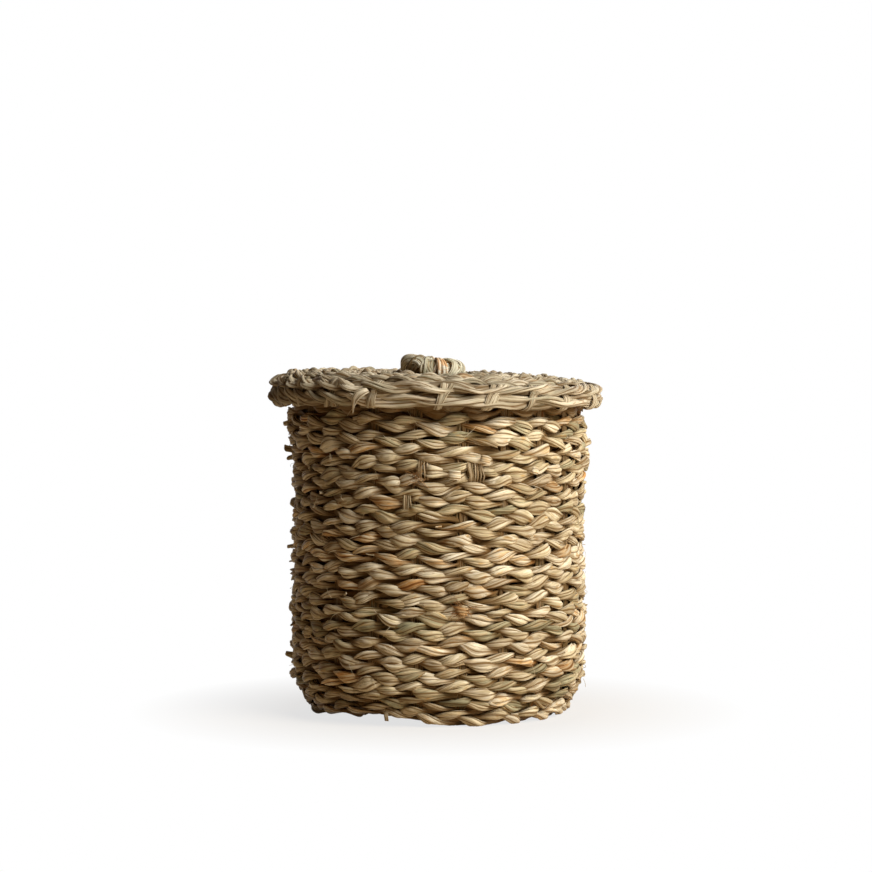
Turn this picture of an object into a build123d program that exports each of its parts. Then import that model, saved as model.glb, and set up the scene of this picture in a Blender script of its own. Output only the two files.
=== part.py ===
from build123d import *
import math
import os

os.makedirs("parts", exist_ok=True)

# Lidded laundry basket of plaited rush, in millimetres. It stands on the floor at z = 0, round the Z axis.
# Ten flat stakes cross in the base and run up the wall. Plaited rows ring the stakes and hold them.
# Each row stands here as one closed ring of the plait's outline, with a slot for every stake.

# Wall
wall_outer_radius = 200.0
wall_depth = 24.0  # through the wall, over a whole row
wall_row_count = 21
wall_row_pitch = 19.2
wall_lift = 2.0  # underside of the lowest wall row above the floor
foot_inset = 25.0  # how far the wall draws in at the floor
foot_height = 50.0  # the wall stands upright from here up
border_height = 30.0  # the last row, which takes in the ends of the stakes

# Base
base_thickness = 20.0
base_row_count = 6
base_centre_radius = 50.0  # inside this the stakes lie bare

# Stakes
stakes_each_way = 5
stake_width = 15.0
stake_thickness = 5.0
stake_spacing = 2.0  # between neighbours where they cross in the middle
stake_turn = 9.0  # degrees from the X axis to the middle stake
stake_top_cover = 6.0  # left over the end of a stake inside the border

# Lid
lid_thickness = 22.0
lid_row_count = 8
lid_centre_radius = 48.0
lid_stake_width = 12.0
lid_stake_thickness = 4.0
lid_stake_spacing = 5.0  # wide enough for the legs of the knob
lid_stake_cover = 14.0  # left outside the end of a lid stake in the edge row
rim_play = 4.5  # between the rim of the lid and the wall, all round
rim_depth = 19.0  # through the edge row and the rope below it
rope_height = 18.5
tie_width = 13.0
tie_thickness = 1.8

# Knob
knob_depth = 34.0  # through the ring of the knob
knob_height = 32.0
knob_leg_rise = 8.0  # how far a leg reaches up into the knob
coil_depth = 18.0  # the coil under the lid that the legs are tied to
coil_height = 8.0
leg_tail = 2.0  # what shows of a leg below the coil

# Fits
gap = 0.3  # between neighbours that are held together
row_sides = 12  # sides of the outline of a plaited row

# Sizes that follow
wall_radius = wall_outer_radius - wall_depth / 2
foot_slope = foot_inset / foot_height
stake_count = 4 * stakes_each_way
stake_step = 360 / stake_count
outer_place = stakes_each_way // 2
stake_pitch = stake_width + stake_spacing
lid_stake_pitch = lid_stake_width + lid_stake_spacing
wall_top = wall_lift + wall_row_count * wall_row_pitch
border_top = wall_top + border_height
lid_bottom = border_top + gap
lid_middle = lid_bottom + lid_thickness / 2
lid_top = lid_bottom + lid_thickness
tie_inner_radius = wall_outer_radius + rim_play
rim_inner_radius = tie_inner_radius + tie_thickness + gap
rim_outer_radius = rim_inner_radius + rim_depth
rope_top = lid_bottom - gap
rope_bottom = rope_top - rope_height
leg_width = lid_stake_spacing - 2 * gap


def wall_radius_at(height):
    """Middle of the wall at a height above the floor."""
    return wall_radius - foot_slope * max(foot_height - height, 0)


def row_corners(inner, outer, bottom, top):
    """Section of a plaited row, flat where it meets the rows beside it. The upper half comes first."""
    middle_radius = (inner + outer) / 2
    middle_height = (bottom + top) / 2
    reach = 1 / math.cos(math.pi / row_sides)
    corners = []
    for side in range(row_sides):
        angle = 2 * math.pi * (side + 0.5) / row_sides
        across = (outer - inner) / 2 * reach * math.cos(angle)
        up = (top - bottom) / 2 * reach * math.sin(angle)
        corners.append((middle_radius + across, 0, middle_height + up))
    return corners


def row(inner, outer, bottom, top):
    """A plaited row as one closed ring."""
    outline = make_face(Polyline(*row_corners(inner, outer, bottom, top), close=True))
    return revolve(outline, axis=Axis.Z)


def ribbon(points, width):
    """Outline of a strip of even width that follows a bent line, with mitred corners."""
    headings = [math.atan2(b[1] - a[1], b[0] - a[0]) for a, b in zip(points, points[1:])]
    left = []
    right = []
    for place, (x, y) in enumerate(points):
        heading_in = headings[max(place - 1, 0)]
        heading_out = headings[min(place, len(headings) - 1)]
        bend = heading_out - heading_in
        side = heading_in + bend / 2 + math.pi / 2
        half = width / 2 / math.cos(bend / 2)
        left.append((x + half * math.cos(side), y + half * math.sin(side)))
        right.append((x - half * math.cos(side), y - half * math.sin(side)))
    return left + right[::-1]


def crossing_line(place, pitch, reach):
    """Plan of one stake: side by side with the others in the middle, then fanned out."""
    angle = math.radians(place * stake_step)
    far_x = reach * math.cos(angle)
    far_y = reach * math.sin(angle)
    if place == 0:
        return [(-far_x, far_y), (far_x, far_y)]
    offset = place * pitch
    turn = offset / math.tan(angle)
    return [(-far_x, far_y), (-turn, offset), (turn, offset), (far_x, far_y)]


def flat_strip(line, width, thickness, level):
    """A flat strip along a line in plan."""
    corners = [(x, y, level - thickness / 2) for x, y in ribbon(line, width)]
    return extrude(make_face(Polyline(*corners, close=True)), thickness, dir=(0, 0, 1))


def stake_level(middle, thickness, upper):
    """Height of the middle of a stake where it crosses over or under the others."""
    step = (thickness + gap) / 2
    return middle + step if upper else middle - step


def turned(solid, upper):
    """The upper stakes lie along X and the lower ones along Y, all turned alike."""
    return Rot(0, 0, stake_turn if upper else stake_turn + 90) * solid


def stake(place, upper, room=0.0):
    """A stake: up the wall, across the base and up the other side. Room widens it to a slot."""
    width = stake_width + 2 * room
    thickness = stake_thickness + 2 * room
    level = stake_level(base_thickness / 2, stake_thickness, upper)
    fanned_out = outer_place * stake_pitch / math.sin(math.radians(outer_place * stake_step))
    join = fanned_out + stake_width
    solid = flat_strip(crossing_line(place, stake_pitch, join), width, thickness, level)
    top = border_top - stake_top_cover + room
    climb = [(join, level), (wall_radius_at(level), level), (wall_radius, foot_height), (wall_radius, top)]
    side = [(x, width / 2, z) for x, z in ribbon(climb, thickness)]
    upright = extrude(make_face(Polyline(*side, close=True)), width, dir=(0, -1, 0))
    lean = place * stake_step
    solid = solid + Rot(0, 0, lean) * upright
    solid = solid + Rot(0, 0, 180 - lean) * upright
    return turned(solid, upper)


def lid_stake(place, upper, room=0.0):
    """A stake of the lid, flat from edge to edge. Room widens it to a slot."""
    level = stake_level(lid_middle, lid_stake_thickness, upper)
    line = crossing_line(place, lid_stake_pitch, rim_outer_radius - lid_stake_cover + room)
    solid = flat_strip(line, lid_stake_width + 2 * room, lid_stake_thickness + 2 * room, level)
    return turned(solid, upper)


def save(solids, node):
    """Writes one named piece, or one group of pieces that are alike."""
    shape = solids[0] if len(solids) == 1 else Compound(children=solids)
    export_step(shape, f"parts/{node}.step")


places = range(-outer_place, outer_place + 1)
crossings = [(place, upper) for upper in (True, False) for place in places]
stake_turns = [stake_turn + stake_step * step for step in range(stake_count)]

# Stakes
for number, (place, upper) in enumerate(crossings, 1):
    save([stake(place, upper)], f"stake_{number:02d}")
stake_slots = [stake(place, upper, gap) for place, upper in crossings]

# Rows of the base, from the middle out
base_outer_radius = wall_radius_at(wall_lift + wall_row_pitch / 2) - wall_depth / 2
base_row_pitch = (base_outer_radius - base_centre_radius) / base_row_count
for number in range(1, base_row_count + 1):
    inner = base_centre_radius + (number - 1) * base_row_pitch
    ring = row(inner, inner + base_row_pitch - gap, 0, base_thickness)
    save([ring - stake_slots], f"base_row_{number:02d}")

# Rows of the wall, from the floor up, and the border
for number in range(1, wall_row_count + 1):
    bottom = wall_lift + (number - 1) * wall_row_pitch
    inner = wall_radius_at(bottom + wall_row_pitch / 2) - wall_depth / 2
    ring = row(inner, inner + wall_depth, bottom, bottom + wall_row_pitch - gap)
    save([ring - stake_slots], f"wall_row_{number:02d}")
border = row(wall_outer_radius - wall_depth, wall_outer_radius, wall_top, border_top)
save([border - stake_slots], "wall_border")

# Stakes of the lid
for upper, node in ((True, "lid_stakes_across"), (False, "lid_stakes_along")):
    save([lid_stake(place, upper) for place in places], node)
lid_slots = [lid_stake(place, upper, gap) for place, upper in crossings]

# Rows of the lid, from the middle out, and its edge
lid_row_pitch = (tie_inner_radius - lid_centre_radius) / lid_row_count
for number in range(1, lid_row_count + 1):
    inner = lid_centre_radius + (number - 1) * lid_row_pitch
    ring = row(inner, inner + lid_row_pitch - gap, lid_bottom, lid_top)
    save([ring - lid_slots], f"lid_row_{number:02d}")
save([row(rim_inner_radius, rim_outer_radius, lid_bottom, lid_top) - lid_slots], "lid_edge_row")

# Rope of the rim, and the ties that bind it under the edge, each halfway between two stakes
save([row(rim_inner_radius, rim_outer_radius, rope_bottom, rope_top)], "lid_rim_rope")
tie_angle = math.degrees(tie_width / rim_outer_radius)


def tie_section(room):
    """A tie's width of the whole rim, with room added all round."""
    inner = rim_inner_radius - room
    outer = rim_outer_radius + room
    over_edge = row_corners(inner, outer, lid_bottom - room, lid_top + room)[: row_sides // 2]
    under_rope = row_corners(inner, outer, rope_bottom - room, rope_top + room)[row_sides // 2 :]
    outline = make_face(Polyline(*over_edge, *under_rope, close=True))
    return Rot(0, 0, -tie_angle / 2) * revolve(outline, axis=Axis.Z, revolution_arc=tie_angle)


tie = tie_section(gap + tie_thickness) - tie_section(gap)
save([Rot(0, 0, turn + stake_step / 2) * tie for turn in stake_turns], "lid_rim_ties")

# Knob, whose four legs go down between the lid's stakes to a coil under the lid
knob_bottom = stake_level(lid_middle, lid_stake_thickness, True) + lid_stake_thickness / 2 + gap
coil_top = stake_level(lid_middle, lid_stake_thickness, False) - lid_stake_thickness / 2 - gap
coil_bottom = coil_top - coil_height
leg_bottom = coil_bottom - leg_tail
leg_x = 1.5 * lid_stake_pitch
leg_y = 0.5 * lid_stake_pitch
leg_radius = math.hypot(leg_x, leg_y)


def legs(width):
    """The four legs of the knob, each in a gap between the lid's stakes."""
    size = (width, width, knob_bottom + knob_leg_rise - leg_bottom)
    leg = Pos(leg_x, leg_y, leg_bottom) * Box(*size, align=(Align.CENTER, Align.CENTER, Align.MIN))
    return [Rot(0, 0, stake_turn + 90 * quarter) * leg for quarter in range(4)]


knob_inner = leg_radius - knob_depth / 2
knob = row(knob_inner, knob_inner + knob_depth, knob_bottom, knob_bottom + knob_height)
save([knob + legs(leg_width)], "knob")
coil_inner = leg_radius - coil_depth / 2
coil = row(coil_inner, coil_inner + coil_depth, coil_bottom, coil_top)
save([coil - legs(leg_width + 2 * gap)], "knob_coil")
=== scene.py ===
"""Looks of the lidded laundry basket: plaited rush rows round flat stakes, a capped lid and a wound knob."""

import math

import bpy
import numpy as np
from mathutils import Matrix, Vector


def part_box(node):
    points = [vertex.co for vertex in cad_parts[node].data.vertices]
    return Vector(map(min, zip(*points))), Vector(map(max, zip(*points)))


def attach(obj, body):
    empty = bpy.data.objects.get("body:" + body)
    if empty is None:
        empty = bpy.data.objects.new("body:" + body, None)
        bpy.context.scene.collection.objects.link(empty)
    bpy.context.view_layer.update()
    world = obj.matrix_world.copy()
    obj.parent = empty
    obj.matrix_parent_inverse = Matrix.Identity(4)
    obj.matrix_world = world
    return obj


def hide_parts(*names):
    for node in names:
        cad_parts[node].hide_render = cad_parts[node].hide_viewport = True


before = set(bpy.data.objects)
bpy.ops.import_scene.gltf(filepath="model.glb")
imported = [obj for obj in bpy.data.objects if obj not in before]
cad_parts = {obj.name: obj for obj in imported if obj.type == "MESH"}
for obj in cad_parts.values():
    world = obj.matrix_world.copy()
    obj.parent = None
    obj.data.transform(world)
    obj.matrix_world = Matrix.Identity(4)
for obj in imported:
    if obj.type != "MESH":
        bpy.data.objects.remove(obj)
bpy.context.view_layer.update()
nodes = sorted(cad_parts)

MM = 0.001

# How the stakes stand round the wall
STAKE_COUNT = 20
STAKE_STEP = 2 * math.pi / STAKE_COUNT
FIRST_STAKE = math.radians(9)
STAKES_EACH_WAY = 5
STAKE_PITCH = 17 * MM  # between neighbours where they cross in the middle
LID_STAKE_COVER = 14 * MM  # left outside the end of a lid stake in the edge row
PASS_LEAD = math.radians(-2.4)  # from a stake to the middle of the pass over it

# A strand of the plait, as half sizes of its section
STRAND_HALF_WIDTH = 7.5 * MM
STRAND_HALF_THICKNESS = 4.3 * MM
STRAND_SWAY = 6.5 * MM  # how far a strand goes up and down in its row
STRAND_DEPTH = 7 * MM  # how far it goes out and in, over and under the others
STRAND_STEP = 4.3 * MM  # between the sections of its mesh
LOBE_SIDES = 4  # sides of the outline of one fold of a leaf
LEAF_JOIN = 9  # passes before a new leaf takes over from the last

# The strands behind the seams of the rows
INNER_HALF_WIDTH = 8.2 * MM
INNER_HALF_THICKNESS = 3 * MM
INNER_INSET = 7.5 * MM  # in from the middle of the wall

# The wall
WALL_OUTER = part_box("wall_row_12")[1].x
WALL_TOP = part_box("wall_border")[1].z
WALL_DEPTH = 24 * MM
WALL_RADIUS = WALL_OUTER - WALL_DEPTH / 2
WALL_PITCH = 19.2 * MM  # from one row to the next
ROW_GAP = 0.3 * MM
FOOT_HEIGHT = 50 * MM
FOOT_SLOPE = 0.5

# How far the wall is out of true, with the heights above the floor where it is
LEAN = 4.6 * MM  # how far the top is lower on the right, and higher on the left
RIGHT_BULGE, RIGHT_BULGE_HEIGHT = 4 * MM, 353 * MM
RIGHT_HOLLOW, RIGHT_HOLLOW_HEIGHT = 3.5 * MM, 245 * MM
LEFT_BULGE, LEFT_BULGE_HEIGHT = 9 * MM, 400 * MM
FOOT_RISE, FOOT_RISE_ANGLE = 19 * MM, -2.12  # the foot is drawn up in front, on the left

# The lid
LID_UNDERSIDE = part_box("lid_edge_row")[0].z
RIM_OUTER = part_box("lid_rim_ties")[1].x
RIM_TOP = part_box("lid_rim_ties")[1].z
RIM_DEPTH = 19 * MM
LID_SHIFT = -4 * MM  # the lid sits to the left of the middle, inside its play round the wall
KNOB_SHIFT = -3.5 * MM

# The photo's camera
CAMERA_DISTANCE = 3.85
CAMERA_HEIGHT = 0.541
CAMERA_SIDE = -0.004
CAMERA_TILT = math.radians(2.51)
PHOTO_PIXELS = 872
FOCAL_PIXELS = 2839
SENSOR = 36

LAMP_AIM = (0, 0, 0.22)


def linear(code):
    """An sRGB hex colour as linear values."""
    parts = [int(code[i : i + 2], 16) / 255 for i in (1, 3, 5)]
    return tuple(c / 12.92 if c <= 0.04045 else ((c + 0.055) / 1.055) ** 2.4 for c in parts) + (1.0,)


def add(tree, kind, links=None, **settings):
    """Adds a node, sets its properties and inputs, and links its inputs."""
    node = tree.nodes.new(kind)
    for name, value in settings.items():
        setattr(node, name, value)
    for socket, source in (links or {}).items():
        if isinstance(source, bpy.types.NodeSocket):
            tree.links.new(source, node.inputs[socket])
        else:
            node.inputs[socket].default_value = source
    return node


# Painted shade tint: where the tone is dark, from dark ribs and leaves and from the painted shade, the colour keeps
# more red than blue
WARM_LOWS = (0.31, 0.215, 0.125)  # red, green and blue that are left in the darkest ribs and folds


def dried_rush(name, colours, stained, roughness):
    """Dried rush: a smooth waxy leaf with fine ribs along it, streaked and stained, with painted shade in its folds.
    """
    material = bpy.data.materials.new(name)
    material.use_nodes = True
    tree = material.node_tree
    tree.nodes.clear()
    fibre = add(tree, "ShaderNodeAttribute", attribute_name="fibre").outputs["Vector"]
    tone = add(tree, "ShaderNodeAttribute", attribute_name="tone").outputs["Vector"]
    tone = add(tree, "ShaderNodeSeparateXYZ", {"Vector": tone}).outputs

    def grain(length, width, detail):
        """Marks along the fibre, from their length and width in mm."""
        scale = (1 / (length * MM), 1 / (width * MM), 1 / (width * MM))
        drawn_out = add(tree, "ShaderNodeVectorMath", {0: fibre, 1: scale}, operation="MULTIPLY").outputs[0]
        noise = add(tree, "ShaderNodeTexNoise", {"Vector": drawn_out, "Scale": 1.0, "Detail": detail})
        return noise.outputs["Fac"]

    ribs = grain(62.5, 1.25, 2.0)  # a real leaf's ribs are finer, and these are coarse enough to show
    streaks = grain(26, 3.8, 3.0)
    stains = grain(18, 5.2, 2.0)

    def spread(value, low, high, to_low, to_high):
        """A value of one range as one of another."""
        return add(tree, "ShaderNodeMapRange", {"Value": value, 1: low, 2: high, 3: to_low, 4: to_high}).outputs[0]

    streak = spread(streaks, 0.3, 0.7, -0.22, 0.22)
    hue = add(tree, "ShaderNodeMath", {0: tone["X"], 1: streak}, operation="ADD").outputs[0]
    ramp = add(tree, "ShaderNodeValToRGB", {"Fac": hue})
    stops = ramp.color_ramp.elements
    while len(stops) < len(colours):
        stops.new(0.5)
    for place, (stop, colour) in enumerate(zip(stops, colours)):
        stop.position = place / (len(colours) - 1)
        stop.color = linear(colour)
    stain = spread(stains, 0.61, 0.74, 0.0, 0.7)
    mixed = {0: stain, 6: ramp.outputs["Color"], 7: linear(stained)}
    colour = add(tree, "ShaderNodeMix", mixed, data_type="RGBA").outputs[2]
    rib = spread(ribs, 0.37, 0.53, 0.68, 1.06)
    shade = add(tree, "ShaderNodeMath", {0: rib, 1: tone["Y"]}, operation="MULTIPLY").outputs[0]
    # Painted shade: the creases between the folds of a leaf are darkened, down to about a fifth
    fold = spread(tone["Z"], 0.5, 1.0, 1.0, 0.22)
    shade = add(tree, "ShaderNodeMath", {0: shade, 1: fold}, operation="MULTIPLY").outputs[0]
    # Painted shade: the darker the tone, the warmer and darker the colour
    channels = {channel: spread(shade, 0.3, 1.2, low, 1.2) for channel, low in enumerate(WARM_LOWS)}
    warm = add(tree, "ShaderNodeCombineXYZ", channels).outputs[0]
    colour = add(tree, "ShaderNodeVectorMath", {0: colour, 1: warm}, operation="MULTIPLY").outputs[0]
    bump = add(tree, "ShaderNodeBump", {"Height": ribs, "Strength": 0.7, "Distance": 0.8 * MM})
    surface = add(
        tree,
        "ShaderNodeBsdfPrincipled",
        {"Base Color": colour, "Normal": bump.outputs[0], "Roughness": roughness, "Specular IOR Level": 0.03},
    )
    add(tree, "ShaderNodeOutputMaterial", {"Surface": surface.outputs[0]})
    return material


WALL_COLOURS = ["#8e8260", "#a69873", "#bba379", "#ccb68f", "#d9c7a6", "#d4b382", "#b8854e"]
LID_COLOURS = ["#7f735a", "#978a6d", "#ab9979", "#bca988", "#cbb898", "#bb9e76", "#9d7a51"]
KNOB_COLOURS = ["#a09777", "#b9b08e", "#cabd9b", "#dacdae", "#e6d7ba", "#dcb283", "#c48e58"]
wall_rush = dried_rush("wall rush", WALL_COLOURS, "#b4843f", 0.46)
lid_rush = dried_rush("lid rush", LID_COLOURS, "#8b6a46", 0.55)
knob_rush = dried_rush("knob rush", KNOB_COLOURS, "#b08048", 0.55)


def smooth_keys(values, key):
    """Values at whole keys, eased from one to the next and closed round."""
    low = np.floor(key).astype(int)
    ease = (1 - np.cos((key - low) * math.pi)) / 2
    count = len(values)
    return values[low % count] * (1 - ease) + values[(low + 1) % count] * ease


def toned(hue, light, count):
    """Tone along a strand: place on the colour ramp, lightness, and room for the painted shade of its folds."""
    tone = np.zeros((count, 3))
    tone[:, 0] = hue
    tone[:, 1] = light
    return tone


def leaf(centre, side, normal, half_width, half_thickness, tone, rng, roll=0.0, twist=0.0, lobes=3, crease=0.16,
         closed=True, lobe_sides=LOBE_SIDES):
    """One strand of folded leaves: its points, faces, place along the fibre and tone. Twist turns its folds."""
    count = len(centre)
    corners = lobes * lobe_sides
    turn = np.arange(corners) * 2 * math.pi / corners
    steps = np.linalg.norm(np.diff(centre, axis=0), axis=1)
    length = np.concatenate([[0.0], np.cumsum(steps)])
    roll = np.broadcast_to(roll, (count,))[:, None]
    half_width = np.broadcast_to(half_width, (count,))[:, None]
    half_thickness = np.broadcast_to(half_thickness, (count,))[:, None]
    fold = 1 - np.abs(np.cos(turn * lobes / 2))
    swell = (1 - crease * fold)[None, :]
    twisted = turn[None, :] + np.broadcast_to(twist, (count,))[:, None]
    across = half_width * np.cos(twisted) * swell
    out = half_thickness * np.sin(twisted) * np.abs(np.sin(twisted)) ** 0.25 * swell
    across_turned = across * np.cos(roll) - out * np.sin(roll)
    out_turned = across * np.sin(roll) + out * np.cos(roll)
    points = centre[:, None, :] + across_turned[..., None] * side[:, None, :]
    points = points + out_turned[..., None] * normal[:, None, :]
    along = np.broadcast_to((length + rng.uniform(0, 50))[:, None], across.shape)
    fibre = np.stack([along, half_width * np.cos(turn), half_thickness * np.sin(turn)], axis=-1)
    lobe = np.floor(turn * lobes / (2 * math.pi) + 0.5).astype(int) % lobes
    tones = np.broadcast_to(tone[:, None, :], across.shape + (3,)).copy()
    tones[..., 1] *= rng.uniform(0.78, 1.12, lobes)[lobe][None, :]
    # Painted shade: the creases between the folds, which the material darkens
    tones[..., 2] = fold[None, :] if crease else 0.0
    rings = np.arange(count if closed else count - 1)[:, None] * corners
    this = np.arange(corners)[None, :]
    after = (this + 1) % corners
    above = (rings + corners) % (count * corners)
    faces = np.stack([rings + this, rings + after, above + after, above + this], axis=-1).reshape(-1, 4)
    rightward = np.dot(np.cross(side[0], normal[0]), centre[1] - centre[0]) > 0
    faces = (faces if rightward else faces[:, ::-1]).tolist()
    if not closed:
        first = list(range(corners))
        last = list(range((count - 1) * corners, count * corners))
        faces += [first[::-1], last] if rightward else [first, last[::-1]]
    return points.reshape(-1, 3), faces, fibre.reshape(-1, 3), tones.reshape(-1, 3)


def hand_made(points, body):
    """A hand-made basket is a little out of round, lower on one side and drawn up at its foot."""
    x, y, z = points.T
    angle = np.arctan2(y, x)
    reach = np.hypot(x, y) / WALL_OUTER
    out = 1.3 * MM * np.sin(2 * angle + 9 * z + 0.6) + 0.9 * MM * np.sin(5 * angle - 14 * z)
    drawn_up = 0.0
    if body == "basket":
        left = (angle % (2 * math.pi) - math.pi) / 0.55
        right = angle / 0.55
        out = out + RIGHT_BULGE * np.exp(-(right**2) - ((z - RIGHT_BULGE_HEIGHT) / (36 * MM)) ** 2)
        out = out - RIGHT_HOLLOW * np.exp(-(right**2) - ((z - RIGHT_HOLLOW_HEIGHT) / (60 * MM)) ** 2)
        out = out + LEFT_BULGE * np.exp(-(left**2) - ((z - LEFT_BULGE_HEIGHT) / (52 * MM)) ** 2)
        away = angle - FOOT_RISE_ANGLE
        away = np.where(away < 0, away / 0.58, away / 0.43)
        drawn_up = FOOT_RISE * np.exp(-(away**2)) * np.clip(1 - z / FOOT_HEIGHT, 0, 1) * reach**2
    out = out * reach
    dip = LEAN * x / WALL_OUTER * z / WALL_TOP
    return np.stack([x + out * np.cos(angle), y + out * np.sin(angle), z - dip + drawn_up], axis=-1)


def capped(points):
    """The lid is a shallow dome. Its edge hangs over on the right, and its rim sags at the left end."""
    x, y, z = points.T
    angle = np.arctan2(y, x)
    reach = np.hypot(x, y)
    left = np.clip(-np.cos(angle), 0, 1) ** 6
    start = (150 - 30 * np.cos(angle)) * MM
    fall = (9.5 + 1.5 * np.cos(angle) + 4 * left) * MM
    edge = np.clip((reach - start) / (RIM_OUTER - start), 0, 1) ** 2
    rise = 2 * MM * np.clip((reach - 46 * MM) / (20 * MM), 0, 1)
    upper = np.clip((z - LID_UNDERSIDE) / (RIM_TOP - LID_UNDERSIDE), 0, 1)
    lower = np.clip((LID_UNDERSIDE - z) / (18 * MM), 0, 1.2) * np.clip((reach - 150 * MM) / (50 * MM), 0, 1)
    height = z + (rise * (1 - edge) - fall * edge) * upper - 6 * MM * left * lower
    return np.stack([x + LID_SHIFT, y, height], axis=-1)


def rush_piece(node, body, strands, material, floor=None):
    """Joins strands into one piece that stands for a CAD node."""
    points = np.concatenate([s[0] for s in strands])
    if body == "lid":
        points = capped(points)
    points = hand_made(points, body)
    if floor is not None:
        points[:, 2] = np.maximum(points[:, 2], floor)
    faces = []
    start = 0
    for strand in strands:
        faces += [[corner + start for corner in face] for face in strand[1]]
        start += len(strand[0])
    mesh = bpy.data.meshes.new(node + "_rush")
    mesh.from_pydata(points.tolist(), [], faces)
    for name, place in (("fibre", 2), ("tone", 3)):
        layer = mesh.attributes.new(name, "FLOAT_VECTOR", "POINT")
        layer.data.foreach_set("vector", np.concatenate([s[place] for s in strands]).astype(np.float32).ravel())
    mesh.polygons.foreach_set("use_smooth", np.ones(len(mesh.polygons), bool))
    mesh.materials.append(material)
    mesh.update()
    piece = bpy.data.objects.new(node + "_rush", mesh)
    bpy.context.collection.objects.link(piece)
    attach(piece, body)
    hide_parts(node)
    return piece


def tones_by_pass(rng, key, pass_count):
    """Each pass of a strand has its own tone, and a leaf carries on through several passes."""
    leaves = rng.normal(0.46, 0.11, pass_count // LEAF_JOIN + 2)
    hue = leaves[np.arange(pass_count) // LEAF_JOIN] + rng.normal(0, 0.085, pass_count)
    hue = np.where(rng.random(pass_count) < 0.04, rng.uniform(0.74, 0.9, pass_count), np.clip(hue, 0.1, 0.74))
    light = rng.normal(1.0, 0.11, pass_count)
    values = toned(hue, light, pass_count)
    place = (key + 1) / 2
    low = np.floor(place).astype(int)
    ease = np.clip((place - low - 0.9) / 0.1, 0, 1)[:, None]
    return values[low % pass_count] * (1 - ease) + values[(low + 1) % pass_count] * ease


def plait(place, radius, repeats, seed, sway, depth, half_width, half_thickness):
    """A row of three-strand plait, of two leaves to the strand. Three rounds of one strand make the row."""
    rng = np.random.default_rng(seed)
    length = 6 * math.pi * radius
    count = int(length / STRAND_STEP)
    way = np.arange(count) / count
    keys = 4 * repeats
    key = keys * way
    phase = math.pi / 4 + key * math.pi / 2
    bulk = smooth_keys(np.clip(rng.normal(1.0, 0.12, keys), 0.75, 1.3), key)
    flat = smooth_keys(np.clip(rng.normal(1.0, 0.14, keys), 0.75, 1.35), key)
    across = sway * np.sin(phase) * smooth_keys(rng.normal(1.0, 0.14, keys), key)
    across = across + smooth_keys(rng.normal(0, 1.3 * MM, keys), key)
    out = depth * np.sin(2 * phase) + smooth_keys(rng.normal(0, 0.9 * MM, keys), key)
    angle = FIRST_STAKE + PASS_LEAD + 6 * math.pi * way
    angle = angle + smooth_keys(rng.normal(0, 0.09, keys), key) * 2 * math.pi / repeats
    roll = smooth_keys(rng.normal(0, 0.42, keys), key)
    taper = 0.6 + 0.54 * np.sin(2 * phase) ** 2
    half_width = half_width * bulk * flat * taper
    half_thickness = half_thickness * bulk / flat
    hand = rng.choice([-1, 1])
    wind = hand * 2 * math.pi * round(length / rng.uniform(0.1, 0.17)) * way
    wind = wind + smooth_keys(rng.normal(0, 0.6, keys), key)
    tone = tones_by_pass(rng, key, 2 * repeats)
    # Painted shade: the passes that go in behind the others are darker, and those in front a little lighter
    tone[:, 1] *= np.interp(np.sin(2 * phase), [-0.2, 0.72], [0.32, 1.07])
    leaves = []
    for half_turn in (0, math.pi):
        lay = wind + half_turn
        apart = smooth_keys(rng.uniform(0.3, 0.46, keys), key)
        leaf_across = across + apart * half_width * np.cos(lay)
        leaf_out = out + apart * half_thickness * np.sin(lay)
        centre, side, normal = place(angle, leaf_across, leaf_out)
        twist = hand * 2 * math.pi * round(length * rng.uniform(3, 7)) * way
        twist = twist + smooth_keys(rng.normal(0, 0.6, keys), key)
        leaf_tone = tone + np.array([rng.normal(0, 0.05), 0.0, 0.0])
        leaf_tone[:, 1] *= smooth_keys(rng.normal(1.0, 0.07, keys), key)
        leaves.append(leaf(centre, side, normal, half_width * 0.74, half_thickness * 0.84, leaf_tone, rng, roll,
                           twist, lobes=int(rng.integers(2, 5)), crease=0.3))
    return leaves


def polar(angle, radius, height):
    """Points round the Z axis."""
    height = np.broadcast_to(height, angle.shape)
    return np.stack([radius * np.cos(angle), radius * np.sin(angle), height], axis=-1)


def outward(angle):
    """Level, away from the Z axis."""
    return polar(angle, np.ones_like(angle), 0.0)


def upward(angle):
    """Straight up, at each angle."""
    return np.tile(np.array([0.0, 0.0, 1.0]), (len(angle), 1))


def wall_radius_at(height):
    """Middle of the wall at a height above the floor."""
    return WALL_RADIUS - FOOT_SLOPE * np.maximum(FOOT_HEIGHT - height, 0)


def upright_row(middle):
    """Where a row of the wall lies."""

    def place(angle, across, out):
        wander = 0.8 * MM * np.sin(3 * angle + 40 * middle) + 0.5 * MM * np.sin(7 * angle - 70 * middle)
        height = middle + across + wander
        radius = wall_radius_at(height) + out
        return polar(angle, radius, height), upward(angle), outward(angle)

    return place


def flat_row(radius, middle):
    """Where a row of the base or the lid lies."""

    def place(angle, across, out):
        return polar(angle, radius + across, middle + out), outward(angle), upward(angle)

    return place


def around(angle):
    """Level, along a ring."""
    return outward(angle + math.pi / 2)


def facing_out(angle, turn):
    """Out of the section of a ring, at a turn up from level."""
    return np.stack([np.cos(turn) * np.cos(angle), np.cos(turn) * np.sin(angle), np.sin(turn)], axis=-1)


def squared_loop(count):
    """Turns round a loop with full corners, and how far it reaches at each."""
    turn = np.arange(count) * 2 * math.pi / count
    return turn, (np.abs(np.cos(turn)) ** 2.4 + np.abs(np.sin(turn)) ** 2.4) ** (-1 / 2.4)


def middle_of(node):
    """Height of the middle of a CAD node."""
    low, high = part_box(node)
    return (low.z + high.z) / 2


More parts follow.
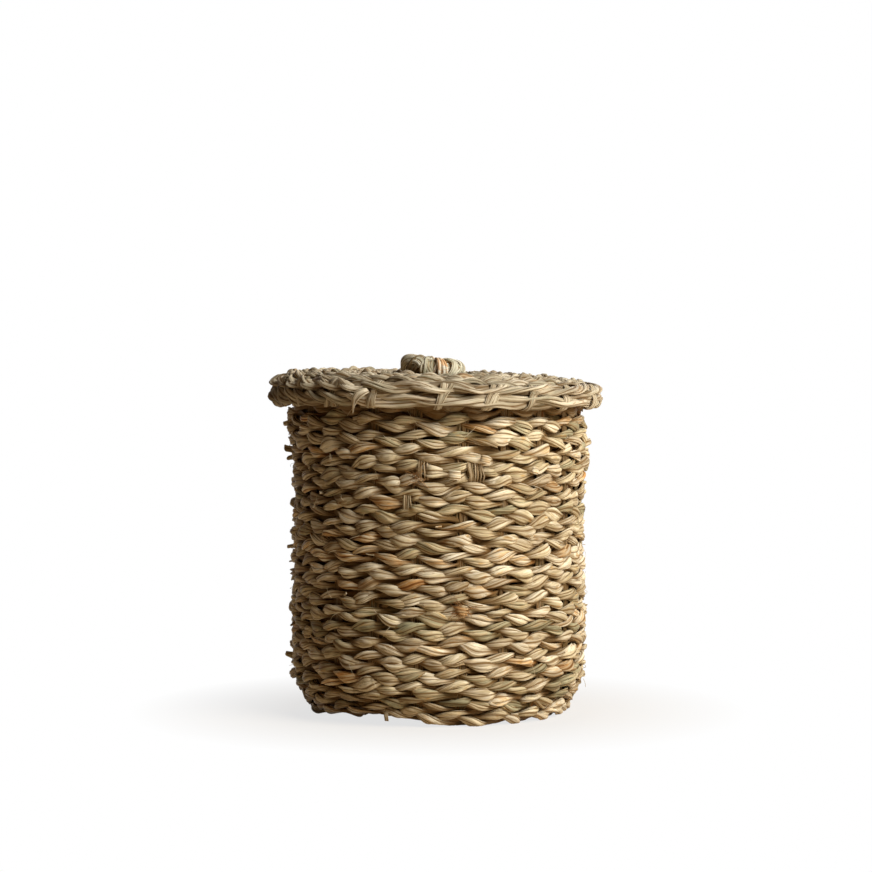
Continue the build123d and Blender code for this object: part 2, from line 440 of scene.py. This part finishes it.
def cut_end(rng, angle, height, way, out, drop, half, roll):
    """The cut end of a leaf that sticks out of the wall, with a pale face."""
    along = np.array([0.0, 0.2, 0.4, 0.6, 0.8, 0.97, 1.0])
    angles = angle + way / WALL_OUTER * along
    radius = wall_radius_at(height) + 3 * MM + (9 * MM + out) * along**1.4
    centre = polar(angles, radius, height - drop * along**2)
    tone = toned(rng.uniform(0.3, 0.7), rng.normal(0.9, 0.1), len(along))
    tone[-1] = (0.66, 1.15, 0.0)
    width = half * (1 + 0.25 * np.sin(along * 3 + rng.uniform(0, 3)))
    return leaf(centre, upward(angles), outward(angles), width, 0.62 * width, tone, rng, roll, crease=0.25,
                closed=False)


def loose_leaf(rng, path, half_width, hue, light):
    """A flat loose leaf along points given as angle, distance from the axis and height."""
    angle, reach, height = np.array(path).T
    angle = np.radians(angle)
    centre = polar(angle, reach * MM, height * MM)
    side = np.cross(outward(angle), np.gradient(centre, axis=0))
    side /= np.linalg.norm(side, axis=1)[:, None]
    return leaf(centre, side, outward(angle), np.array(half_width) * MM, 0.8 * MM, toned(hue, light, len(angle)), rng,
                lobes=4, crease=0.1, closed=False)


def inner_strand(radius, height, seed, lying=False):
    """The strand behind the seam of two rows, coloured dark as painted shade where it shows in the gaps. It lies flat
    in the lid.
    """
    rng = np.random.default_rng(seed)
    count = int(2 * math.pi * radius / (6 * MM))
    angle = 2 * math.pi * np.arange(count) / count
    keys = count // 6
    key = keys * np.arange(count) / count
    # Painted shade: its low lightness stands for the shade in the gaps between the rows
    tone = toned(smooth_keys(rng.uniform(0.2, 0.6, keys), key), 0.34, count)
    centre = polar(angle, radius, height + smooth_keys(rng.normal(0, 1.2 * MM, keys), key))
    twist = 2 * math.pi * 9 * np.arange(count) / count
    side, facing = (outward(angle), upward(angle)) if lying else (upward(angle), outward(angle))
    return leaf(centre, side, facing, INNER_HALF_WIDTH, INNER_HALF_THICKNESS, tone, rng, twist=twist, lobes=2,
                crease=0.2, lobe_sides=3)


def loose_hair(rng, angle, height, hue=None, light=1.15, reach=0.0):
    """A thin fibre that has come loose from a strand."""
    along = np.linspace(0, 1, 6)
    length = rng.uniform(7, 20) * MM
    heading = rng.choice([-1, 1]) * rng.uniform(0.3, 1.0)
    rise = rng.normal(0, 0.55)
    angles = angle + heading * length / WALL_OUTER * along
    radius = WALL_OUTER + reach - 3 * MM + rng.uniform(2, 5) * MM * np.sin(along * rng.uniform(1.6, 2.9))
    centre = polar(angles, radius, height + length * (rise * along + rng.normal(0, 0.25) * along**2))
    tone = toned(rng.uniform(0.4, 0.8) if hue is None else hue, light, len(along))
    size = rng.uniform(0.22, 0.42) * MM
    return leaf(centre, upward(angles), outward(angles), size, size, tone, rng, lobes=2, crease=0.0, closed=False,
                lobe_sides=2)


# Cut ends that the photo shows: angle in degrees, then height, way round, out, drop and half width in mm, and roll
SEEN_ENDS = [
    (-174, 387, -9, 3, 2, 4.4, 0.4),
    (-176, 350, -7, 5, -2, 6.6, 0.2),
    (-175, 342, -8, 4, 3, 4.6, -0.3),
    (-175, 222, -8, 4, 2, 3.6, 0.3),
    (-175, 73, -8, 5, -3, 4.8, 0.0),
    (-121, 402, -6, 5, 2, 3.0, 0.5),
    (-5, 366, 8, 1, -3, 6.4, 0.1),
]
# Flat ends of leaves: points as angle in degrees, distance from the axis and height in mm, then half widths in mm,
# place on the colour ramp and lightness
SEEN_LEAVES = [
    ([(-86.6, 201, 331.5), (-86.3, 203.4, 331.5), (-84.4, 204.8, 331), (-82.5, 204.6, 330.5), (-82.2, 203, 330.5)],
     (5.4, 5.8, 6.0, 6.0, 5.8), 0.66, 1.35),
    ([(-74.8, 201, 353), (-74.3, 203.6, 352.6), (-72.7, 204.4, 351.5), (-71.2, 203, 350)],
     (4, 5, 5.2, 4.4), 0.66, 1.16),
    ([(-53.4, 202, 337.5), (-52.8, 203.6, 337), (-51.4, 204, 335.8), (-50.6, 202.4, 335)],
     (3.4, 4.6, 4.6, 4), 0.62, 1.16),
    ([(-84.4, 197, 160), (-83, 201, 158.6), (-81, 201.4, 157.4), (-79, 198, 156.6)],
     (1.6, 2.6, 2.2, 1.2), 0.97, 0.85),
    ([(-84, 197, 155), (-82.6, 201.6, 155.2), (-80.6, 201.4, 154), (-78.6, 198, 151.6)],
     (1.4, 2.4, 2.6, 1.4), 0.93, 0.7),
    ([(-83.2, 197, 150.6), (-82.2, 200.8, 151.2), (-80.8, 201, 151), (-79.4, 198, 149.6)],
     (1.2, 2.0, 2.0, 1.2), 1.0, 0.9),
    ([(-112.8, 172, 14), (-112.6, 179, 8), (-112.4, 181, 1), (-112.2, 180, -6)],
     (2.4, 3.0, 3.0, 2.8), 0.5, 0.9),
]
# Where the strands run behind a stake: angle and half width in degrees, height in mm and number of straws that show
STRANDS_BEHIND = [(-76.4, 3.8, 336, 7), (-96.3, 2.2, 338, 4), (-102.2, 1.8, 294, 4)]
# Frayed spots, reddish brown in the photo: angle in degrees, height in mm and number of fibres
FRAYED_SPOTS = [(-81.5, 156, 70), (-98.2, 325, 26)]


def in_row(row_box, height):
    """Whether a height in mm lies in the box of a row of the wall, or in the gap above it."""
    low, high = row_box
    return low.z <= height * MM < high.z + ROW_GAP


def sink_strands(strands, angle, half_angle, height):
    """Draws the strands in behind a stake, round a place given in degrees and mm."""
    for points, *_ in strands:
        aside = (np.arctan2(points[:, 1], points[:, 0]) - math.radians(angle)) / math.radians(half_angle)
        behind = np.exp(-(aside**4) - ((points[:, 2] - height * MM) / (9.5 * MM)) ** 4)
        points[:, :2] *= 1 - (8.5 * MM / WALL_OUTER * behind)[:, None]


def stake_straws(rng, angle, half_angle, height, count):
    """The upright straws of a stake that show where the strands run behind it."""
    straws = []
    for spot in np.linspace(-0.8, 0.8, count):
        top = angle + half_angle * spot * rng.uniform(0.7, 1.0)
        foot = angle + half_angle * (spot + rng.normal(0.08, 0.14))
        reach = rng.uniform(194.4, 197.4)
        bent = [(top, 191, height + 14), (top, reach, height + 6)]
        bent += [(foot, reach, height - 6), (foot, 191, height - 15)]
        half_width = rng.uniform(0.9, 1.6) * np.array([0.9, 1.0, 1.0, 0.8])
        straws.append(loose_leaf(rng, bent, half_width, rng.uniform(0.35, 0.62), rng.uniform(0.5, 0.95)))
    return straws


def seen_in_row(rng, row_box):
    """The ends, flat leaves and frayed spots of the photo that belong to a row of the wall."""
    seen = []
    for angle, height, way, out, drop, half, roll in SEEN_ENDS:
        if in_row(row_box, height):
            sizes = [size * MM for size in (height, way, out, drop, half)]
            seen.append(cut_end(rng, math.radians(angle), *sizes, roll))
    for points, half_width, hue, light in SEEN_LEAVES:
        if in_row(row_box, points[1][2]):  # the row at its second point carries it
            seen.append(loose_leaf(rng, points, half_width, hue, light))
    for angle, height, fibres in FRAYED_SPOTS:
        if in_row(row_box, height):
            for _ in range(fibres):
                where = math.radians(angle) + rng.normal(0, 6.5) * MM / WALL_OUTER
                level = (height + rng.normal(0, 3.5)) * MM
                seen.append(loose_hair(rng, where, level, 1.0, rng.uniform(0.45, 0.95), -1 * MM))
    return seen


def stray_ends(rng, middle):
    """Cut ends and loose fibres anywhere round a row."""
    strays = []
    for _ in range(2):
        where = rng.uniform(0, 2 * math.pi)
        height = middle + rng.normal(0, 4) * MM
        way = rng.choice([-1, 1]) * rng.uniform(6, 14) * MM
        out = rng.uniform(-2, 3) * MM
        drop = rng.normal(0, 3) * MM
        half = rng.uniform(2.0, 3.6) * MM
        strays.append(cut_end(rng, where, height, way, out, drop, half, rng.normal(0.3, 0.5)))
    for _ in range(9):
        where = rng.uniform(0, 2 * math.pi)
        strays.append(loose_hair(rng, where, middle + rng.normal(0, 5) * MM))
    return strays


def wall_rows():
    """The rows of the wall, with what sticks out of them. The two lowest have no stray ends."""
    rng = np.random.default_rng(60)
    straw_rng = np.random.default_rng(61)
    for number, node in enumerate(n for n in nodes if n.startswith("wall_row_")):
        row_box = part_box(node)
        bottom = row_box[0].z
        middle = middle_of(node)
        strands = plait(upright_row(middle), WALL_RADIUS, STAKE_COUNT, 100 + number, STRAND_SWAY, STRAND_DEPTH,
                        STRAND_HALF_WIDTH, STRAND_HALF_THICKNESS)
        straws = []
        for angle, half_angle, height, count in STRANDS_BEHIND:
            sink_strands(strands, angle, half_angle, height)
            if in_row(row_box, height):
                straws += stake_straws(straw_rng, angle, half_angle, height, count)
        strands += straws + seen_in_row(rng, row_box)
        if number:
            strands.append(inner_strand(wall_radius_at(bottom) - INNER_INSET, bottom, 30 + number))
        if number > 1:
            strands += stray_ends(rng, middle)
        rush_piece(node, "basket", strands, wall_rush, floor=0.0)


def wall_border():
    """The last row, which takes in the ends of the stakes under the lid."""
    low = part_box("wall_border")[0]
    middle = middle_of("wall_border") - 1 * MM
    strands = plait(upright_row(middle), WALL_RADIUS, STAKE_COUNT, 90, 7 * MM, 5.5 * MM, 9.5 * MM,
                    STRAND_HALF_THICKNESS)
    for strand in strands:
        strand[3][:, 1] *= 0.42  # painted shadow of the lid that hangs over this row
    strands += [inner_strand(WALL_RADIUS - INNER_INSET, low.z + rise * MM, 90 + rise) for rise in (0, 8)]
    rush_piece("wall_border", "basket", strands, wall_rush)


def flat_rows(prefix, body, material, depth, half_thickness, seed, floor=None):
    """The rows of the base or the lid. Near the middle a row has a pass for every second stake."""
    row_nodes = [n for n in nodes if n.startswith(prefix)]
    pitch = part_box(row_nodes[1])[1].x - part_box(row_nodes[0])[1].x
    for number, node in enumerate(row_nodes):
        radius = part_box(node)[1].x - pitch / 2
        repeats = STAKE_COUNT if radius > 100 * MM else STAKE_COUNT // 2
        half_width = STRAND_HALF_WIDTH * pitch / WALL_PITCH
        row = plait(flat_row(radius, middle_of(node)), radius, repeats, seed + number, 0.32 * pitch, depth,
                    half_width, half_thickness)
        if body == "lid":
            row.append(inner_strand(radius + pitch / 2, middle_of(node) - 5 * MM, seed + 50 + number, lying=True))
        rush_piece(node, body, row, material, floor)


def rope(radius, middle, strands, lay, spread_out, spread_up, half_size, seed):
    """A ring of strands of two leaves laid round one another. Lay gives how far they have turned at an angle."""
    rng = np.random.default_rng(seed)
    count = int(2 * math.pi * radius / STRAND_STEP)
    way = np.arange(count) / count
    angle = FIRST_STAKE + 2 * math.pi * way
    keys = max(int(radius / (6 * MM)), 8)
    key = keys * way
    laid = []
    for strand in range(strands):
        turned = lay(angle) + 2 * math.pi * strand / strands + smooth_keys(rng.normal(0, 0.25, keys), key)
        size = half_size * smooth_keys(rng.normal(1.0, 0.12, keys), key) * (0.84 + 0.2 * np.cos(turned) ** 2)
        hue = smooth_keys(np.clip(rng.normal(0.46, 0.13, keys), 0.1, 0.8), key)
        # Painted shade: a strand is darker where it has turned in, towards the back of the rope
        light = smooth_keys(rng.normal(1.0, 0.15, keys), key) * np.interp(np.cos(turned), [-0.5, 0.5], [0.62, 1.0])
        wind = 2 * math.pi * round(rng.uniform(35, 55) * radius) * way + smooth_keys(rng.normal(0, 0.6, keys), key)
        for half_turn in (0, math.pi):
            out = spread_out * np.cos(turned) + 0.4 * size * np.cos(wind + half_turn)
            up = spread_up * np.sin(turned) + 0.4 * size * np.sin(wind + half_turn)
            tone = toned(hue + rng.normal(0, 0.06), light * smooth_keys(rng.normal(1.0, 0.08, keys), key), count)
            twist = 2 * math.pi * round(rng.uniform(15, 40) * radius) * way
            centre = polar(angle, radius + out, middle + up)
            laid.append(leaf(centre, outward(angle), upward(angle), size * 0.9, size * 0.62, tone, rng, turned, twist,
                             crease=0.24))
    return laid


# How far the strands of the rim have turned round each other: angles in degrees, and turns there
EDGE_LAY = ([9, 60, 100, 245, 285, 325, 369], [0, 1, 0, -7.25, -8.6, -8, -7])
LOWER_LAY = ([9, 115, 245, 369], [0, -0.7, -6.2, -7])


def lay_of(table):
    """The lay of a rope, from angles in degrees and turns."""

    def lay(angle):
        return 2 * math.pi * np.interp(np.degrees(angle), *table)

    return lay


def lid_rim():
    """The edge of the lid, and the rope tied under it."""
    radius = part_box("lid_edge_row")[1].x - RIM_DEPTH / 2
    edge_middle = middle_of("lid_edge_row")
    edge = rope(radius - 1.5 * MM, edge_middle - 2 * MM, 2, lay_of(EDGE_LAY), 5.2 * MM, 4.6 * MM, 7.8 * MM, 300)
    lower_middle = middle_of("lid_rim_rope") + 1.5 * MM
    lower = rope(radius, lower_middle, 3, lay_of(LOWER_LAY), 4.3 * MM, 4.8 * MM, 6.3 * MM, 320)
    for points, _, _, tone in edge + lower:
        from_left = np.arctan2(points[:, 1], points[:, 0]) - math.radians(215)
        tone[:, 1] *= 1 + 0.16 * np.clip(np.cos(from_left), 0, 1)  # paler leaves on the left
    edge.append(inner_strand(radius - 5 * MM, edge_middle - 3 * MM, 310, lying=True))
    rush_piece("lid_edge_row", "lid", edge, lid_rush)
    rush_piece("lid_rim_rope", "lid", lower, lid_rush)
    rim_ties(radius)


# The end of a tie that hangs loose, given as the flat leaves of the wall are
LOOSE_TIE = (
    [(-112.6, 226, 440), (-113.8, 230, 437.5), (-115.4, 231.6, 433), (-116.8, 231.4, 426), (-117.4, 230, 418),
     (-117.8, 229, 408)],
    (4.4, 6, 6.2, 4.8, 2.4, 0.5), 0.6, 1.4,
)


def rim_ties(radius):
    """Ties round the rope, which go under the strands of the edge above it."""
    rng = np.random.default_rng(340)
    low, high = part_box("lid_rim_ties")
    middle = (low.z + high.z) / 2
    half_height = (high.z - low.z) / 2 - 1.6 * MM
    half_depth = RIM_DEPTH / 2 + 0.4 * MM
    turn, square = squared_loop(56)
    height = middle + half_height * square * np.sin(turn)
    waist = 3.4 * MM * np.exp(-(((height - LID_UNDERSIDE) / (5 * MM)) ** 2))
    ties = []
    for number in range(STAKE_COUNT):
        where = number * STAKE_STEP + rng.normal(0, math.radians(1.6))
        slant = rng.normal(0.026, 0.018)
        reach_up = rng.uniform(2, 10) * MM
        under = 6.5 * MM * np.clip((height - LID_UNDERSIDE - reach_up) / (5 * MM) + 1, 0, 1)
        if math.cos(where + math.radians(143)) > 0.88:
            under = 5.5 * MM  # on the left the strands of the rope cover the ties
        strips = int(rng.integers(2, 4))
        for strip in range(strips):
            shift = (strip - (strips - 1) / 2) * 4.2 * MM + 0.8 * MM * rng.normal()
            cross = rng.normal(0, 0.016)
            angle = where + shift / radius + (slant + cross) * np.sin(turn)
            angle = angle + 0.004 * np.sin(2 * turn + rng.uniform(0, 6))
            depth = half_depth * square * np.cos(turn) - (waist + under) * np.cos(turn)
            centre = polar(angle, radius + depth, height - 0.6 * under * np.clip(np.sin(turn), 0, 1))
            tone = toned(rng.normal(0.46, 0.1), rng.normal(1.0, 0.08), len(turn))
            half_width = rng.uniform(3.8, 5.2) * MM
            ties.append(leaf(centre, around(angle), facing_out(angle, turn), half_width, 1.5 * MM, tone, rng,
                             rng.normal(0, 0.15), lobes=4, crease=0.22))
    ties.append(loose_leaf(rng, *LOOSE_TIE))
    rush_piece("lid_rim_ties", "lid", ties, lid_rush)


def rounded(points, rounds):
    """Eases the corners of a line of evenly spaced points, and keeps its ends."""
    for _ in range(rounds):
        points[1:-1] = (points[:-2] + 2 * points[1:-1] + points[2:]) / 4
    return points


def spaced(corners, step):
    """Evenly spaced points along straight stretches between corners."""
    corners = np.array(corners, float)
    lengths = np.linalg.norm(np.diff(corners, axis=0), axis=1)
    ends = np.concatenate([[0], np.cumsum(lengths)])
    at = np.linspace(0, ends[-1], max(int(ends[-1] / step), 8))
    return np.stack([np.interp(at, ends, corners[:, i]) for i in range(3)], axis=-1)


def stake_bundle(place, upper, pitch, reach, middle, swing, climb, leaf_count, leaf_pitch, leaf_half, seed):
    """A flat bundle of leaves that weaves over and under the others in the middle, then fans out."""
    rng = np.random.default_rng(seed)
    offset = place * pitch
    lean = place * STAKE_STEP
    turn = offset / math.tan(lean) if place else 0.0
    ends = [(-reach * math.cos(lean), reach * math.sin(lean)), (reach * math.cos(lean), reach * math.sin(lean))]
    line = [(*ends[0], middle), (-turn, offset, middle), (turn, offset, middle), (*ends[1], middle)]
    if not place:
        line = [line[0], line[3]]
    for foot, top in climb:
        across, along = foot * math.cos(lean), foot * math.sin(lean)
        line = [(-across, along, top)] + line + [(across, along, top)]
    path = rounded(spaced(line, 6 * MM), 5)
    near = np.clip(1 - (np.abs(path[:, 0]) - 2.5 * pitch) / pitch, 0, 1) * (path[:, 2] < middle + 5 * MM)
    sign = (1 if upper else -1) * (-1) ** place
    path[:, 2] += swing * sign * np.cos(math.pi * path[:, 0] / pitch) * near
    plan = np.gradient(path[:, :2], axis=0)
    radial = np.stack([np.cos(lean) * np.ones(len(path)), np.sign(path[:, 0]) * math.sin(lean)], axis=-1)
    plan = np.where((np.linalg.norm(plan, axis=1) < 2 * MM)[:, None], radial, plan)
    plan /= np.linalg.norm(plan, axis=1)[:, None]
    side = np.stack([-plan[:, 1], plan[:, 0], np.zeros(len(path))], axis=-1)
    along = np.gradient(path, axis=0)
    along /= np.linalg.norm(along, axis=1)[:, None]
    normal = np.cross(along, side)
    normal /= np.linalg.norm(normal, axis=1)[:, None]
    spin = FIRST_STAKE + (0 if upper else math.pi / 2)
    turned = np.array([[math.cos(spin), -math.sin(spin), 0], [math.sin(spin), math.cos(spin), 0], [0, 0, 1]])
    path, side, normal = path @ turned.T, side @ turned.T, normal @ turned.T
    leaves = []
    count = len(path)
    for number in range(leaf_count):
        keys = 30
        key = np.arange(count) * (keys - 1) / count
        aside = (number - (leaf_count - 1) / 2) * leaf_pitch + smooth_keys(rng.normal(0, 0.5 * MM, keys), key)
        lift = smooth_keys(rng.normal(0, 0.4 * MM, keys), key)
        centre = path + aside[:, None] * side + lift[:, None] * normal
        hue = np.clip(smooth_keys(rng.beta(2, 2.4, keys), key), 0, 0.86)
        # Painted shade: the stakes are kept dark, as they show only in the gaps between the strands
        tone = toned(hue, smooth_keys(rng.normal(0.46, 0.07, keys), key), count)
        leaves.append(leaf(centre, side, normal, leaf_pitch * 0.56, leaf_half, tone, rng, lobes=2, crease=0.15,
                           closed=False))
    return leaves


def stakes():
    """The stakes of the wall and the base, and those of the lid."""
    places = range(-(STAKES_EACH_WAY // 2), STAKES_EACH_WAY // 2 + 1)
    base_middle = middle_of("base_row_03")
    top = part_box("stake_03")[1].z
    foot = wall_radius_at(np.array(base_middle)).item()
    climb = [(WALL_RADIUS - 1 * MM, FOOT_HEIGHT), (WALL_RADIUS - 1 * MM, top)]
    number = 0
    for upper in (True, False):
        for place in places:
            number += 1
            leaves = stake_bundle(place, upper, STAKE_PITCH, foot, base_middle, 2.6 * MM, climb, 5, 3.0 * MM,
                                  2.0 * MM, 400 + number)
            rush_piece(f"stake_{number:02d}", "basket", leaves, wall_rush, floor=0.0)
    lid_middle = middle_of("lid_row_03")
    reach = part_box("lid_edge_row")[1].x - LID_STAKE_COVER
    for upper, node in ((True, "lid_stakes_across"), (False, "lid_stakes_along")):
        leaves = []
        for place in places:
            leaves += stake_bundle(place, upper, STAKE_PITCH, reach, lid_middle, 2.1 * MM, [], 4, 3.7 * MM, 1.7 * MM,
                                   440 + place + 10 * upper)
        rush_piece(node, "lid", leaves, lid_rush)


# Lumps of the knob: angle in degrees, slant, lightness and place on the colour ramp
KNOB_LUMPS = [
    # Painted shade: the first lump is dark for the opening under the leaves that arch over it
    (-138, 0.3, 0.46, 0.24),
    (-102, 0.0, 1.02, 0.26),
    (-74, -0.02, 0.94, 0.68),
    (-44, 0.3, 0.95, 0.32),
    (6, 0.2, 1.0, 0.4),
    (46, -0.2, 1.0, 0.4),
    (88, 0.25, 1.0, 0.5),
    (132, 0.0, 1.0, 0.35),
    (176, 0.3, 0.95, 0.4),
]
STAINED_LUMP = -74
# Leaves laid over the lumps: points as degrees round the ring and up its side, then half width in mm, place on the
# colour ramp and lightness
KNOB_WRAPS = [
    ([(-178, -40), (-170, 10), (-156, 46), (-132, 58), (-112, 44), (-104, 12)], 4.8, 0.36, 1.12),
    ([(-164, -45), (-156, 0), (-142, 26), (-124, 32), (-114, 10)], 3.8, 0.4, 1.15),
    ([(-113, -30), (-111, 20), (-104, 52), (-92, 60)], 2.6, 0.3, 1.0),
    ([(-60, -50), (-53, -8), (-46, 40), (-36, 80)], 4.2, 0.3, 1.1),
    ([(-48, -60), (-37, -16), (-25, 30), (-12, 70)], 4.0, 0.34, 1.04),
    ([(-30, -60), (-19, -10), (-6, 40), (6, 70)], 4.0, 0.4, 1.0),
    ([(-50, 82), (-44, 46), (-34, 12), (-26, -14)], 3.0, 0.28, 1.12),
]


def knob_lumps(rng, radius, middle, half_depth, half_height):
    """Leaves wound round the ring of the knob, in lumps that swell in their middle."""
    turn, square = squared_loop(36)
    leaves = []
    for number, (lump, slant, light, hue) in enumerate(KNOB_LUMPS):
        ahead = KNOB_LUMPS[(number + 1) % len(KNOB_LUMPS)][0] - lump
        behind = lump - KNOB_LUMPS[number - 1][0]
        width = math.radians((ahead % 360 + behind % 360) / 2)
        for place in (-0.36, -0.12, 0.12, 0.36):
            swell = 1.08 - 2.5 * place**2 + rng.normal(0, 0.03)
            lean = slant + rng.normal(0, 0.07)
            angle = math.radians(lump) + place * width + lean * np.sin(turn + 0.3)
            angle = angle + 0.03 * np.sin(2 * turn + rng.uniform(0, 6))
            reach = radius + half_depth * swell * square * np.cos(turn)
            centre = polar(angle, reach, middle + half_height * swell * square * np.sin(turn))
            tone = toned(np.clip(hue + rng.normal(0, 0.08), 0.1, 0.75), light * rng.normal(1.0, 0.08), len(turn))
            if lump == STAINED_LUMP and place > 0:
                tone[2:6, 0] = 0.88  # an orange stain on its side
            half_width = np.clip(reach / radius, 0.5, 1.6) * radius * width * 0.22
            leaves.append(leaf(centre, around(angle), facing_out(angle, turn), half_width, 2.6 * MM, tone, rng,
                               rng.normal(0, 0.25), crease=0.26))
    return leaves


def knob_wraps(rng, radius, middle, half_depth, half_height):
    """The leaves laid over the lumps of the knob."""
    leaves = []
    for wrap, half_width, hue, light in KNOB_WRAPS:
        corners = np.arange(len(wrap))
        steps = np.linspace(0, len(wrap) - 1, 16)
        ways = np.stack([np.interp(steps, corners, np.radians(column)) for column in np.array(wrap).T], axis=-1)
        angle, up = rounded(ways, 3).T
        centre = polar(angle, radius + 1.15 * half_depth * np.cos(up), middle + 1.15 * half_height * np.sin(up))
        facing = facing_out(angle, up)
        sideways = np.cross(facing, np.gradient(centre, axis=0))
        sideways /= np.linalg.norm(sideways, axis=1)[:, None]
        leaves.append(leaf(centre, sideways, facing, half_width * MM, 1.8 * MM, toned(hue, light, len(steps)), rng,
                           lobes=4, crease=0.22, closed=False))
    return leaves


def knob_legs(rng, radius, bottom, top):
    """The four legs of the knob, each in a gap between the stakes of the lid."""
    heights = np.linspace(bottom, top, 8)
    legs = []
    for quarter in range(4):
        angle = np.full(len(heights), FIRST_STAKE + math.atan2(0.5, 1.5) + quarter * math.pi / 2)
        centre = polar(angle, np.full(len(heights), radius), heights)
        tone = toned(0.5, 1.0, len(heights))
        legs.append(leaf(centre, outward(angle), around(angle), 2.2 * MM, 2.2 * MM, tone, rng, closed=False))
    return legs


def knob():
    """A ring wound round with leaves in lumps, on legs that go down through the lid to a coil."""
    rng = np.random.default_rng(500)
    low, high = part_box("knob")
    coil_low, coil_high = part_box("knob_coil")
    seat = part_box("lid_stakes_across")[1].z
    radius = coil_high.x - 9 * MM
    middle = (seat + high.z) / 2 - 1.8 * MM
    half_height = (high.z - seat) / 2 - 4.4 * MM
    half_depth = high.x - radius - 2.6 * MM
    pieces = rope(radius, middle, 3, lambda angle: 4 * angle, 4.5 * MM, 5 * MM, 5.5 * MM, 515)
    pieces += knob_lumps(rng, radius, middle, half_depth, half_height)
    pieces += knob_wraps(rng, radius, middle, half_depth, half_height)
    pieces += knob_legs(rng, radius, low.z, seat + 8 * MM)
    for points, *_ in pieces:
        above = np.maximum(points[:, 2] - seat, 0)
        points[:, 2] -= above * points[:, 0] * 3.2  # the ring is higher on its left
        points[:, 0] += KNOB_SHIFT * (above > 0)
    rush_piece("knob", "lid", pieces, knob_rush)
    coil_middle = (coil_low.z + coil_high.z) / 2
    coil = rope(radius, coil_middle, 3, lambda angle: 3 * angle, 4.6 * MM, 1.2 * MM, 3.0 * MM, 520)
    rush_piece("knob_coil", "lid", coil, knob_rush)


def seen_rays(tree):
    """1 where the camera looks, also by way of a mirror or glass, and 0 for the light that falls on the basket."""
    ray = add(tree, "ShaderNodeLightPath").outputs
    mirror = {0: ray["Is Glossy Ray"], 1: ray["Is Transmission Ray"]}
    mirror = add(tree, "ShaderNodeMath", mirror, operation="MAXIMUM").outputs[0]
    return add(tree, "ShaderNodeMath", {0: ray["Is Camera Ray"], 1: mirror}, operation="MAXIMUM").outputs[0]


def pale_floor():
    """Matt warm paint that fades to white away from the basket, and keeps its shadow."""
    bpy.ops.object.select_all(action="DESELECT")
    bpy.ops.mesh.primitive_circle_add(vertices=96, radius=6.0, fill_type="NGON", location=(0, 0, -0.0002))
    floor = bpy.context.object
    floor.name = "floor"
    material = bpy.data.materials.new("pale floor")
    material.use_nodes = True
    tree = material.node_tree
    tree.nodes.clear()
    matt = add(tree, "ShaderNodeBsdfDiffuse", {"Color": linear("#cbb698")})
    white = add(tree, "ShaderNodeEmission", {"Color": (1, 1, 1, 1), "Strength": 1.0})
    spot = add(tree, "ShaderNodeTexCoord").outputs["Object"]
    far = add(tree, "ShaderNodeVectorMath", {0: spot}, operation="LENGTH").outputs["Value"]
    fade = add(tree, "ShaderNodeMapRange", {"Value": far, 1: 0.2, 2: 0.42, 3: 0.74, 4: 1.0}).outputs[0]
    fade = add(tree, "ShaderNodeMath", {0: fade, 1: seen_rays(tree)}, operation="MULTIPLY").outputs[0]
    mixed = add(tree, "ShaderNodeMixShader", {0: fade, 1: matt.outputs[0], 2: white.outputs[0]})
    add(tree, "ShaderNodeOutputMaterial", {"Surface": mixed.outputs[0]})
    floor.data.materials.append(material)


def white_surround():
    """White to the eye, and a faint warm light on the basket."""
    world = bpy.data.worlds.new("studio")
    bpy.context.scene.world = world
    world.use_nodes = True
    tree = world.node_tree
    tree.nodes.clear()
    seen = seen_rays(tree)
    strength = add(tree, "ShaderNodeMapRange", {"Value": seen, 3: 0.037, 4: 1.0})
    tint = add(tree, "ShaderNodeMix", {0: seen, 6: (1, 0.54, 0.24, 1), 7: (1, 1, 1, 1)}, data_type="RGBA")
    sky = add(tree, "ShaderNodeBackground", {"Color": tint.outputs[2], "Strength": strength.outputs[0]})
    add(tree, "ShaderNodeOutputWorld", {"Surface": sky.outputs[0]})


def lamp(name, place, size, power, colour):
    """A round soft lamp that shines at the middle of the basket."""
    light = bpy.data.lights.new(name, "AREA")
    light.shape = "DISK"
    light.size = size
    light.energy = power
    light.color = colour
    lamp_object = bpy.data.objects.new(name, light)
    bpy.context.collection.objects.link(lamp_object)
    lamp_object.location = place
    heading = np.array(LAMP_AIM) - np.array(place)
    lamp_object.rotation_euler = (
        math.atan2(math.hypot(heading[0], heading[1]), -heading[2]),
        0,
        math.atan2(heading[1], heading[0]) - math.pi / 2,
    )


def camera():
    """The photo's camera."""
    data = bpy.data.cameras.new("camera")
    data.sensor_width = SENSOR
    data.lens = SENSOR * FOCAL_PIXELS / PHOTO_PIXELS
    view = bpy.data.objects.new("camera", data)
    bpy.context.collection.objects.link(view)
    view.location = (CAMERA_SIDE, -CAMERA_DISTANCE, CAMERA_HEIGHT)
    view.rotation_euler = (math.pi / 2 - CAMERA_TILT, 0, 0)
    bpy.context.scene.camera = view


wall_rows()
wall_border()
flat_rows("base_row_", "basket", wall_rush, 5.4 * MM, 4.2 * MM, 200, floor=0.0)
stakes()
flat_rows("lid_row_", "lid", lid_rush, 6.2 * MM, 4.4 * MM, 240)
lid_rim()
knob()
pale_floor()
white_surround()
lamp("key", (1.7, -1.52, 1.75), 1.8, 108, (0.92, 1.0, 1.1))  # from the right, so that the left side is dark
lamp("fill", (2.1, -0.75, 0.4), 1.6, 15, (0.96, 1.0, 1.04))
lamp("back", (0.3, 2.9, 1.1), 1.6, 34, (1.0, 0.92, 0.8))
camera()
bpy.context.scene.view_settings.view_transform = "Standard"
